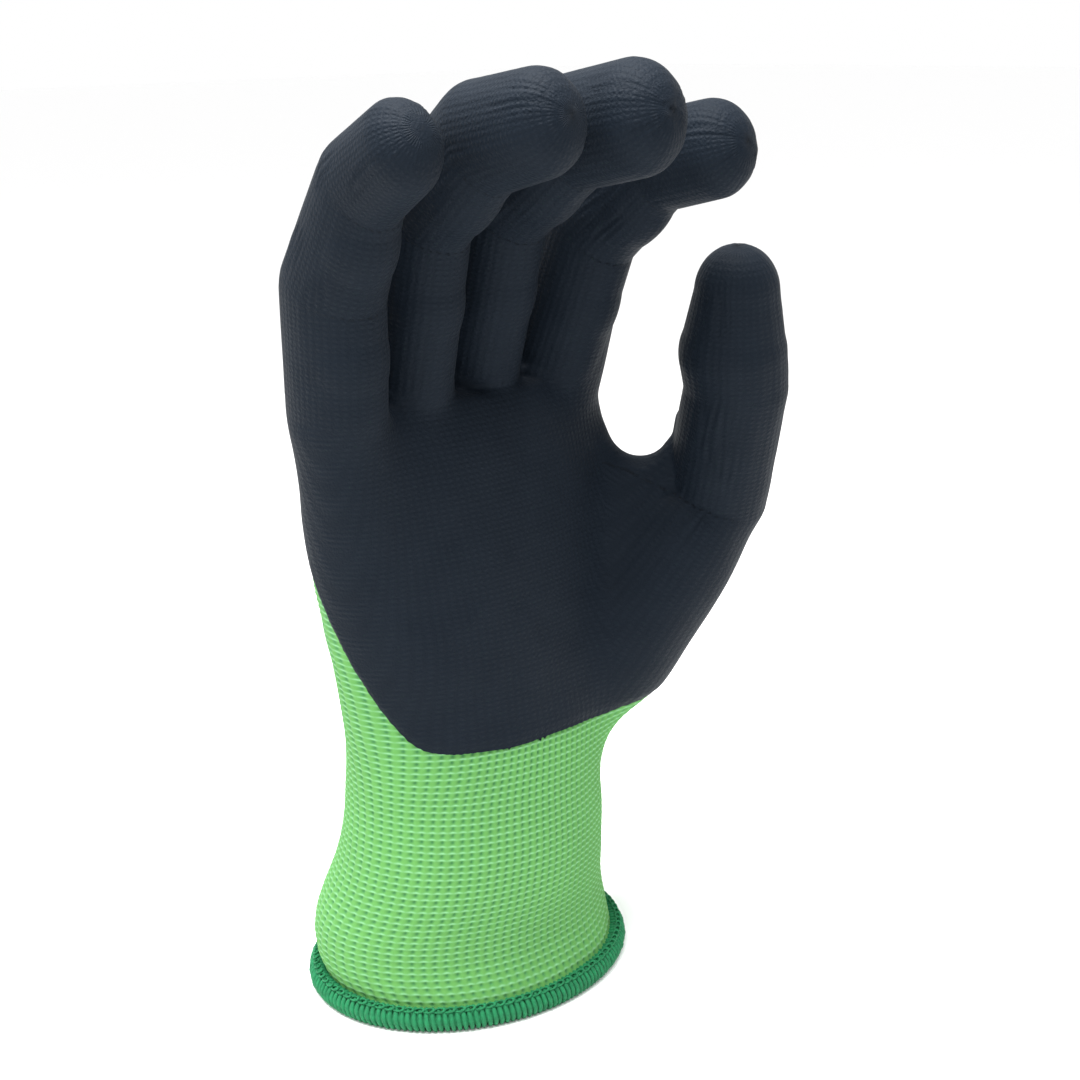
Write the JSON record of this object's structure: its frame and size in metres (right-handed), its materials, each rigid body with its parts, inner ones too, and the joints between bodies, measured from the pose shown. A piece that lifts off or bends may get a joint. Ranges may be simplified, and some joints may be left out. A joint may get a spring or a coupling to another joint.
{
  "type": "cut resistant glove",
  "caption": "Right-hand knitted cut resistant work glove with a dipped palm and fingers, a ribbed knit cuff and an overlocked hem, posed as on a relaxed hand.",
  "frame": {"origin": "centre of the hand opening, in the plane of the bottom of the cuff's hem", "axes": "+Z from the cuff towards the fingers, palm facing -Y, thumb on the +X side"},
  "size_m": [0.1245, 0.1034, 0.2172],
  "materials": {
    "knit": "lime green seamless knit, matt",
    "nitrile_coat": "matt blue-black foam nitrile over the knit",
    "hem_thread": "dark green overlock thread",
    "elastic_thread": "pale covered elastic thread"
  },
  "bodies": {
    "cuff": {"cuff_hem": "hem_thread", "cuff_knit": "knit", "cuff_elastic": "elastic_thread", "wrist_knit": "knit"},
    "palm": {"palm_liner": "knit", "palm_coat": "nitrile_coat", "thumb_web": "nitrile_coat", "little_root_fold": "nitrile_coat", "ring_root_fold": "nitrile_coat", "middle_root_fold": "nitrile_coat", "index_root_fold": "nitrile_coat"},
    "little_proximal": {"little_proximal_liner": "knit", "little_proximal_coat": "nitrile_coat", "little_middle_fold": "nitrile_coat"},
    "little_middle": {"little_middle_liner": "knit", "little_middle_coat": "nitrile_coat", "little_tip_fold": "nitrile_coat"},
    "little_tip": {"little_tip_liner": "knit", "little_tip_coat": "nitrile_coat"},
    "ring_proximal": {"ring_proximal_liner": "knit", "ring_proximal_coat": "nitrile_coat", "ring_middle_fold": "nitrile_coat"},
    "ring_middle": {"ring_middle_liner": "knit", "ring_middle_coat": "nitrile_coat", "ring_tip_fold": "nitrile_coat"},
    "ring_tip": {"ring_tip_liner": "knit", "ring_tip_coat": "nitrile_coat"},
    "middle_proximal": {"middle_proximal_liner": "knit", "middle_proximal_coat": "nitrile_coat", "middle_middle_fold": "nitrile_coat"},
    "middle_middle": {"middle_middle_liner": "knit", "middle_middle_coat": "nitrile_coat", "middle_tip_fold": "nitrile_coat"},
    "middle_tip": {"middle_tip_liner": "knit", "middle_tip_coat": "nitrile_coat"},
    "index_proximal": {"index_proximal_liner": "knit", "index_proximal_coat": "nitrile_coat", "index_middle_fold": "nitrile_coat"},
    "index_middle": {"index_middle_liner": "knit", "index_middle_coat": "nitrile_coat", "index_tip_fold": "nitrile_coat"},
    "index_tip": {"index_tip_liner": "knit", "index_tip_coat": "nitrile_coat"},
    "thumb_base": {"thumb_base_liner": "knit", "thumb_base_coat": "nitrile_coat", "thumb_root_fold": "nitrile_coat"},
    "thumb_proximal": {"thumb_proximal_liner": "knit", "thumb_proximal_coat": "nitrile_coat", "thumb_tip_fold": "nitrile_coat"},
    "thumb_tip": {"thumb_tip_liner": "knit", "thumb_tip_coat": "nitrile_coat"}
  },
  "joints": [
    {"name": "wrist_bend", "type": "hinge", "parent": "cuff", "child": "palm", "pos_m": [0, 0, 0.046], "axis": [1, 0, 0], "range_deg": [-40, 40], "deforming": ["wrist_knit"]},
    {"name": "little_knuckle", "type": "hinge", "parent": "palm", "child": "little_proximal", "pos_m": [-0.0361, -0.0047, 0.1442], "axis": [1, 0, 0], "range_deg": [-9, 62], "deforming": ["little_root_fold"]},
    {"name": "little_middle_joint", "type": "hinge", "parent": "little_proximal", "child": "little_middle", "pos_m": [-0.03888, -0.0093, 0.1731], "axis": [1, 0, 0], "range_deg": [-24, 58], "deforming": ["little_middle_fold"]},
    {"name": "little_tip_joint", "type": "hinge", "parent": "little_middle", "child": "little_tip", "pos_m": [-0.04103, -0.02384, 0.19539], "axis": [1, 0, 0], "range_deg": [-29, 32], "deforming": ["little_tip_fold"]},
    {"name": "ring_knuckle", "type": "hinge", "parent": "palm", "child": "ring_proximal", "pos_m": [-0.0143, -0.0002, 0.149], "axis": [1, 0, 0], "range_deg": [-18.5, 55], "deforming": ["ring_root_fold"]},
    {"name": "ring_middle_joint", "type": "hinge", "parent": "ring_proximal", "child": "ring_middle", "pos_m": [-0.01724, -0.01302, 0.1872], "axis": [1, 0, 0], "range_deg": [-34.5, 52], "deforming": ["ring_middle_fold"]},
    {"name": "ring_tip_joint", "type": "hinge", "parent": "ring_middle", "child": "ring_tip", "pos_m": [-0.01851, -0.03498, 0.2037], "axis": [1, 0, 0], "range_deg": [-25.5, 32], "deforming": ["ring_tip_fold"]},
    {"name": "middle_knuckle", "type": "hinge", "parent": "palm", "child": "middle_proximal", "pos_m": [0.0076, 0.0026, 0.1495], "axis": [1, 0, 0], "range_deg": [-22.5, 52], "deforming": ["middle_root_fold"]},
    {"name": "middle_middle_joint", "type": "hinge", "parent": "middle_proximal", "child": "middle_middle", "pos_m": [0.00435, -0.01347, 0.18817], "axis": [1, 0, 0], "range_deg": [-35.5, 52], "deforming": ["middle_middle_fold"]},
    {"name": "middle_tip_joint", "type": "hinge", "parent": "middle_middle", "child": "middle_tip", "pos_m": [0.00304, -0.03866, 0.20385], "axis": [1, 0, 0], "range_deg": [-21.5, 32], "deforming": ["middle_tip_fold"]},
    {"name": "index_knuckle", "type": "hinge", "parent": "palm", "child": "index_proximal", "pos_m": [0.029, -0.0001, 0.1471], "axis": [1, 0, 0], "range_deg": [-24, 50], "deforming": ["index_root_fold"]},
    {"name": "index_middle_joint", "type": "hinge", "parent": "index_proximal", "child": "index_middle", "pos_m": [0.02988, -0.01515, 0.18089], "axis": [1, 0, 0], "range_deg": [-30, 55], "deforming": ["index_middle_fold"]},
    {"name": "index_tip_joint", "type": "hinge", "parent": "index_middle", "child": "index_tip", "pos_m": [0.03028, -0.03578, 0.19587], "axis": [1, 0, 0], "range_deg": [-24, 32], "deforming": ["index_tip_fold"]},
    {"name": "thumb_swing", "type": "hinge", "parent": "palm", "child": "thumb_base", "pos_m": [0.03, -0.008, 0.066], "axis": [0, 1, 0], "range_deg": [-4, 20], "deforming": ["thumb_web"]},
    {"name": "thumb_knuckle", "type": "hinge", "parent": "thumb_base", "child": "thumb_proximal", "pos_m": [0.0605, -0.0266, 0.1125], "axis": [0.12, 0.9398, 0.3199], "range_deg": [-32, 12], "deforming": ["thumb_root_fold"]},
    {"name": "thumb_tip_joint", "type": "hinge", "parent": "thumb_proximal", "child": "thumb_tip", "pos_m": [0.057, -0.0365, 0.1423], "axis": [0.12, 0.9398, 0.3199], "range_deg": [-40, 15], "deforming": ["thumb_tip_fold"]}
  ]
}
